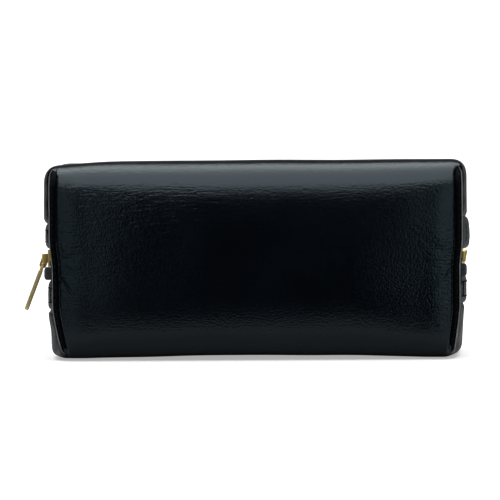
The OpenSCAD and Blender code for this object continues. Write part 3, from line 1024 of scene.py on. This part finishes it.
def build_pocket():
    """A slip pocket sewn to the back lining, with a little slack at its mouth."""
    low, high = box_mm("inner_pocket")
    xs = stepped(low[0], high[0], 3.0)
    ys = stepped(low[1], high[1], 3.0)
    grid_x, grid_y = np.meshgrid(xs, ys, indexing="ij")
    across = np.clip(1 - (grid_x / high[0]) ** 4, 0, 1)
    slack = across * smooth_step(low[1], high[1], grid_y)
    ripple = 0.35 * np.sin(grid_x * 0.09 + 1.2) * slack
    top_z = low[2] + 1.0 + 1.5 * slack + ripple
    top = np.stack([grid_x.ravel(), grid_y.ravel(), top_z.ravel()], axis=1)
    bottom = top - np.array([0, 0, POCKET_T])
    quads = grid_quads(np.arange(grid_x.size).reshape(grid_x.shape))
    pocket = attach(thick_sheet("pocket_panel", top, bottom, quads, LINING),
                    "bag_body", "cloth_lining", "inner_pocket")
    around, half_wide, half_thick = 10, 2.6, 0.75
    sections = [(x, high[1] - 2.2 + half_wide * math.cos(a), z - POCKET_T / 2 + half_thick * math.sin(a))
                for x, z in zip(xs, top_z[:, -1]) for a in np.arange(around) * 2 * math.pi / around]
    binding = make_mesh("pocket_edge_binding", sections, tube_faces(len(xs), around), BINDING, 60)
    attach(fix_normals(binding), "bag_body", "pocket_binding", "pocket_binding")


# ---- Metal pieces: rounded copies of the CAD solids ----

def round_edges(node, name, body, width, material, slot):
    """A copy of a CAD node with its edges rounded, which stands for it."""
    source = frame["nodes"][node]
    mesh = bmesh.new()
    mesh.from_mesh(source.data)
    bmesh.ops.remove_doubles(mesh, verts=mesh.verts, dist=2e-6)
    bmesh.ops.dissolve_limit(mesh, angle_limit=math.radians(1), verts=mesh.verts, edges=mesh.edges)
    edges = [e for e in mesh.edges if len(e.link_faces) == 2 and e.calc_face_angle(0) > math.radians(30)]
    bmesh.ops.bevel(mesh, geom=edges, offset=width * MM, segments=3, profile=0.6, affect="EDGES",
                    clamp_overlap=True)
    bmesh.ops.triangulate(mesh, faces=[f for f in mesh.faces if len(f.verts) > 4])
    data = bpy.data.meshes.new(name)
    mesh.to_mesh(data)
    mesh.free()
    data.materials.clear()
    data.materials.append(material)
    data.shade_smooth()
    data.set_sharp_from_angle(angle=math.radians(40))
    return attach(add_object(name, data), body, slot, node)


def widen_feet(crown):
    """The crown's two feet are cast wider and a little taller than the bar between them."""
    low, high = box_mm("slider_crown")
    middle = (low + high) / 2
    for vertex in crown.data.vertices:
        x, y, z = np.array(vertex.co) / MM
        foot = float(smooth_step(2.6, 3.4, abs(y - middle[1])))
        z = middle[2] + (z - middle[2]) * (1 + 0.5 * foot)
        x -= 0.5 * foot * float(smooth_step(high[0], low[0], x))
        vertex.co = Vector((x, y, z)) * MM


def build_end_clip():
    """The domed clip that is pinched round both tapes where the zip ends on the right."""
    low, high = box_mm("bottom_stop")
    centre = (low + high) / 2 + np.array([1.0 + RIGHT_OUT, 0.2, -0.2])
    half = np.array([1.85, 2.3, 3.4])
    boxy = np.array([0.62, 0.42, 0.40])     # along each axis, from 1, an ellipsoid, towards 0, a box
    pinch, lean = 0.10, math.radians(9)     # it narrows outward, and is turned a little about +Y
    rings, around = 19, 32
    shape = sphere_points(rings, around)
    shape = np.sign(shape) * np.abs(shape) ** boxy
    x, y, z = shape.T
    x = x * (1 - pinch * (1 - np.abs(z)) * (x > 0))
    x, y, z = x * half[0], y * half[1], z * half[2]
    turned = [x * math.cos(lean) + z * math.sin(lean), y, z * math.cos(lean) - x * math.sin(lean)]
    verts = centre + np.stack(turned, axis=1)
    clip = make_mesh("bottom_clip", verts, tube_faces(rings, around, capped=False), SLIDER_GOLD, 70)
    attach(fix_normals(clip, weld=True), "bag_body", "zip_metal", "bottom_stop")


def build_metal():
    build_end_clip()
    for node, name, body, width, material, slot in (
        ("slider_body", "slider_plates", "zip_slider", 0.28, SLIDER_GOLD, "slider_gold"),
        ("slider_crown", "slider_bridge", "zip_slider", 0.22, SLIDER_GOLD, "slider_gold"),
        ("pull_link", "pull_ring", "pull_link_body", 0.18, SLIDER_GOLD, "pull_gold"),
        ("pull_bar", "pull_flat_bar", "pull_bar_body", 0.3, PULL_GOLD, "pull_gold"),
        ("back_top_stop", "back_top_clip", "bag_body", 0.15, TEETH_METAL, "zip_metal"),
        ("front_top_stop", "front_top_clip", "bag_body", 0.15, TEETH_METAL, "zip_metal"),
    ):
        piece = round_edges(node, name, body, width, material, slot)
        if node == "slider_crown":
            widen_feet(piece)
    pin = frame["nodes"]["lock_pin"]
    pin.data.materials.clear()
    pin.data.materials.append(STEEL)


# ---- Studio ----

def paper_material(name, dark, light, glow):
    """Matt studio paper, from a dark to a light grey, that may glow a little."""
    material, tree, shader = new_material(name, Roughness=0.95, Specular_IOR_Level=0.1,
                                          Emission_Color=(1, 1, 1, 1), Emission_Strength=glow)
    place = texture_place(tree)
    tint(tree, shader, noise_of(tree, place, 6, 2), (0.2, [dark] * 3), (0.8, [light] * 3))
    add_bumps(tree, shader, [(noise_of(tree, place, GRAIN, 2), 0.03, 0.0002)])
    return material


def add_paper(name, profile, half_width, lift, material):
    """A sheet of studio paper from a profile of (y, z) points in metres, raised by lift millimetres."""
    verts = [(x / MM, y / MM, z / MM + lift) for y, z in profile for x in (-half_width, half_width)]
    faces = [[2 * i, 2 * i + 1, 2 * i + 3, 2 * i + 2] for i in range(len(profile) - 1)]
    paper = make_mesh(name, verts, faces, material, 80)
    return paper


def build_stage():
    """White paper that curves up behind the bag, and grey cards that only the bag's gloss sees."""
    white = paper_material("studio_paper", 0.88, 0.91, 0.40)
    dark = paper_material("studio_pale_card", 0.19, 0.22, 0.0)
    grey = paper_material("studio_grey_card", 0.44, 0.48, 0.0)
    dim = paper_material("studio_dim_card", 0.40, 0.44, 0.0)
    bend_start, bend_r = 0.9, 0.8
    curve = [(bend_start + bend_r * math.sin(a), bend_r * (1 - math.cos(a)))
             for a in np.linspace(0, math.pi / 2, 13)]
    back = curve + [(bend_start + bend_r, 3.0)]
    add_paper("studio_sweep", [(-2.5, 0.0)] + back, 2.6, -0.15, white).visible_glossy = False
    # The cards meet under the bag, and two more edges lie in front of it
    under, near_edge, far_edge = BASE_Y * MM * 0.5, -0.078, -0.125
    for name, profile, tone in (("card_behind", [(under, 0.0)] + back, dark),
                                ("card_in_front", [(near_edge, 0.0), (under, 0.0)], grey),
                                ("card_further_in_front", [(far_edge, 0.0), (near_edge, 0.0)], dim)):
        card = add_paper(name, profile, 2.5, 0.02, tone)
        card.visible_camera = False
        card.visible_diffuse = False
        card.visible_shadow = False


def add_light(name, size, energy, place, target, colour=(1, 1, 1)):
    """A rectangular area light of energy watts at place, turned to target."""
    data = bpy.data.lights.new(name, "AREA")
    data.shape = "RECTANGLE"
    data.size, data.size_y = size
    data.energy = energy
    data.color = colour
    light = add_object(name, data)
    light.location = place
    light.rotation_euler = (Vector(target) - Vector(place)).to_track_quat("-Z", "Y").to_euler()


def build_lights():
    world = bpy.data.worlds.new("studio")
    world.use_nodes = True
    world.node_tree.nodes["Background"].inputs["Color"].default_value = (0.85, 0.95, 1.0, 1)
    seen = add_node(world.node_tree, "ShaderNodeLightPath").outputs["Is Camera Ray"]
    strength = spread(world.node_tree, seen, 0.012, 1.0)
    world.node_tree.links.new(strength, world.node_tree.nodes["Background"].inputs["Strength"])
    bpy.context.scene.world = world
    bpy.context.scene.view_settings.view_transform = "Standard"
    add_light("top_softbox", (0.9, 1.2), 8.9, (0, -0.47, 0.82), (0, -0.17, 0))
    add_light("backdrop_light", (2.4, 0.8), 26, (0, 0.5, 1.6), (0, 1.3, 0.2))
    for side, energy in ((-1, 0.34), (1, 0.52)):
        add_light(f"side_panel_{side + 1}", (0.3, 0.6), energy,
                  (side * 0.45, -0.95, 0.15), (side * 0.08, 0, 0.05), (0.80, 0.94, 1.0))


def build_camera():
    """A long lens in front of the base, a little to the right and just above the bag's middle."""
    data = bpy.data.cameras.new("camera")
    data.lens = 200
    data.sensor_width = 36
    data.clip_end = 20
    camera = add_object("camera", data)
    distance, azimuth, elevation, roll = 1.36, 2.6, 1.0, -0.45      # metres and degrees
    target = Vector((-0.0014, BASE_Y * MM, 0.0542))
    a, e = math.radians(azimuth), math.radians(elevation)
    offset = Vector((math.sin(a) * math.cos(e), -math.cos(a) * math.cos(e), math.sin(e))) * distance
    camera.location = target + offset
    camera.rotation_euler = (-offset).to_track_quat("-Z", "Y").to_euler()
    camera.rotation_euler.rotate_axis("Z", math.radians(roll))
    bpy.context.scene.camera = camera


build_leather()
build_inner_layers()
build_facings()
build_zip()
build_tape_end("tape_fold_left", -1, "left_tape_end")
build_tape_end("tape_fold_right", 1, "right_tape_end")
build_seam("left", -1)
build_seam("right", 1)
build_pocket()
build_metal()
build_stage()
build_lights()
build_camera()
